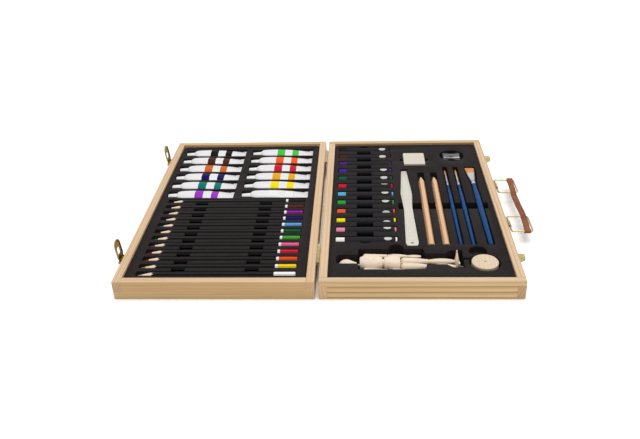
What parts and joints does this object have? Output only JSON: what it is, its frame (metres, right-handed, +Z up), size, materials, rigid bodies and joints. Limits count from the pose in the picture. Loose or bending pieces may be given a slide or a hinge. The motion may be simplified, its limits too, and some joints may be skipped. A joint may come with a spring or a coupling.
{
  "type": "acrylic painting set",
  "caption": "Hinged wooden case, open flat, whose moulded trays hold paint tubes, pencils, oil pastels, brushes, a palette knife, an eraser, a sharpener and a jointed figure.",
  "frame": {"origin": "middle of the hinge gap, midway between front and back, on the surface the open case lies on", "axes": "+X from the lid across the hinge to the base with the handle, +Y away from the front, +Z up"},
  "size_m": [0.483, 0.36, 0.0424],
  "materials": {
    "pine": "sanded",
    "tray": "matte",
    "brass": "polished",
    "steel": "satin",
    "leather": "smooth",
    "tube_metal": "gloss",
    "cap": "satin",
    "pencil_paint": "gloss",
    "pencil_wood": "sanded",
    "pastel": "matte",
    "wrapper": "matte",
    "eraser": "matte",
    "aluminium": "satin",
    "knife": "satin",
    "handle_blue": "gloss",
    "bristle": "matte",
    "beech": "sanded"
  },
  "bodies": {
    "base": {"base_panel": "pine", "base_front_rail": "pine", "base_back_rail": "pine", "base_hinge_rail": "pine", "base_handle_rail": "pine", "base_tray": "tray", "base_hinge_leaves": "brass", "hinge_pins": "brass", "base_screws": "brass", "front_catch": "brass", "back_catch": "brass", "front_handle_bracket": "brass", "back_handle_bracket": "brass"},
    "lid": {"lid_panel": "pine", "lid_front_rail": "pine", "lid_back_rail": "pine", "lid_hinge_rail": "pine", "lid_latch_rail": "pine", "lid_tray": "tray", "lid_hinge_leaves": "brass", "lid_screws": "brass", "front_latch_plate": "brass", "back_latch_plate": "brass", "latch_pins": "brass"},
    "front_latch": {"front_latch_loop": "brass"},
    "back_latch": {"back_latch_loop": "brass"},
    "handle": {"front_handle_ring": "brass", "back_handle_ring": "brass", "handle_strap": "leather"},
    "tubes": {"paint_tubes": "tube_metal", "tube_caps": "cap"},
    "pencils": {"colour_pencils": "pencil_paint"},
    "pastels": {"pastel_sticks": "pastel", "pastel_wrappers": "wrapper"},
    "eraser": {"eraser": "eraser"},
    "sharpener": {"sharpener_body": "aluminium", "sharpener_blade": "steel", "sharpener_screw": "steel"},
    "knife": {"palette_knife": "knife"},
    "graphite": {"graphite_pencils": "pencil_wood"},
    "brushes": {"brush_handles": "handle_blue", "brush_ferrules": "aluminium", "brush_bristles": "bristle"},
    "figure_torso": {"manikin_chest": "beech", "manikin_waist": "beech", "manikin_pelvis": "beech", "manikin_rod": "steel"},
    "figure_head": {"manikin_head": "beech"},
    "figure_stand": {"manikin_base": "beech"},
    "figure_left_leg": {"manikin_left_thigh": "beech", "manikin_left_shin": "beech", "manikin_left_foot": "beech"},
    "figure_left_upper_arm": {"manikin_left_upper_arm": "beech"},
    "figure_left_forearm": {"manikin_left_forearm": "beech"},
    "figure_right_leg": {"manikin_right_thigh": "beech", "manikin_right_shin": "beech", "manikin_right_foot": "beech"},
    "figure_right_upper_arm": {"manikin_right_upper_arm": "beech"},
    "figure_right_forearm": {"manikin_right_forearm": "beech"}
  },
  "joints": [
    {"name": "lid_hinge", "type": "hinge", "parent": "base", "child": "lid", "pos_m": [0, 0, 0.0227], "axis": [0, -1, 0], "range_deg": [-180, 0]},
    {"name": "handle_swing", "type": "hinge", "parent": "base", "child": "handle", "pos_m": [0.2268, 0, 0.015], "axis": [0, -1, 0], "range_deg": [-20, 85]},
    {"name": "front_latch_turn", "type": "hinge", "parent": "lid", "child": "front_latch", "pos_m": [-0.2269, -0.126, 0.0165], "axis": [0, -1, 0], "range_deg": [-12.5, 120]},
    {"name": "back_latch_turn", "type": "hinge", "parent": "lid", "child": "back_latch", "pos_m": [-0.2269, 0.126, 0.0165], "axis": [0, -1, 0], "range_deg": [-12.5, 120]},
    {"name": "tubes_lift", "type": "slide", "parent": "lid", "child": "tubes", "axis": [0, 0, 1], "range_m": [0, 0.04]},
    {"name": "pencils_lift", "type": "slide", "parent": "lid", "child": "pencils", "axis": [0, 0, 1], "range_m": [0, 0.03]},
    {"name": "pastels_lift", "type": "slide", "parent": "base", "child": "pastels", "axis": [0, 0, 1], "range_m": [0, 0.04]},
    {"name": "eraser_lift", "type": "slide", "parent": "base", "child": "eraser", "axis": [0, 0, 1], "range_m": [0, 0.04]},
    {"name": "sharpener_lift", "type": "slide", "parent": "base", "child": "sharpener", "axis": [0, 0, 1], "range_m": [0, 0.04]},
    {"name": "knife_lift", "type": "slide", "parent": "base", "child": "knife", "axis": [0, 0, 1], "range_m": [0, 0.03]},
    {"name": "graphite_lift", "type": "slide", "parent": "base", "child": "graphite", "axis": [0, 0, 1], "range_m": [0, 0.03]},
    {"name": "brushes_lift", "type": "slide", "parent": "base", "child": "brushes", "axis": [0, 0, 1], "range_m": [0, 0.03]},
    {"name": "figure_torso_lift", "type": "slide", "parent": "base", "child": "figure_torso", "axis": [0, 0, 1], "range_m": [0, 0.06]},
    {"name": "figure_stand_lift", "type": "slide", "parent": "base", "child": "figure_stand", "axis": [0, 0, 1], "range_m": [0, 0.04]},
    {"name": "neck", "type": "hinge", "parent": "figure_torso", "child": "figure_head", "pos_m": [0.0422, -0.131, 0.0115], "axis": [0, 1, 0], "range_deg": [0, 30]},
    {"name": "left_hip", "type": "hinge", "parent": "figure_torso", "child": "figure_left_leg", "pos_m": [0.0965, -0.1257, 0.012], "axis": [0, -1, 0], "range_deg": [0, 80]},
    {"name": "left_shoulder", "type": "hinge", "parent": "figure_torso", "child": "figure_left_upper_arm", "pos_m": [0.053, -0.1164, 0.013], "axis": [0, -1, 0], "range_deg": [0, 90]},
    {"name": "left_elbow", "type": "hinge", "parent": "figure_left_upper_arm", "child": "figure_left_forearm", "pos_m": [0.08, -0.1164, 0.013], "axis": [0, -1, 0], "range_deg": [0, 90]},
    {"name": "right_hip", "type": "hinge", "parent": "figure_torso", "child": "figure_right_leg", "pos_m": [0.0965, -0.1363, 0.012], "axis": [0, -1, 0], "range_deg": [0, 80]},
    {"name": "right_shoulder", "type": "hinge", "parent": "figure_torso", "child": "figure_right_upper_arm", "pos_m": [0.053, -0.1456, 0.013], "axis": [0, -1, 0], "range_deg": [0, 90]},
    {"name": "right_elbow", "type": "hinge", "parent": "figure_right_upper_arm", "child": "figure_right_forearm", "pos_m": [0.08, -0.1456, 0.013], "axis": [0, -1, 0], "range_deg": [0, 90]}
  ]
}
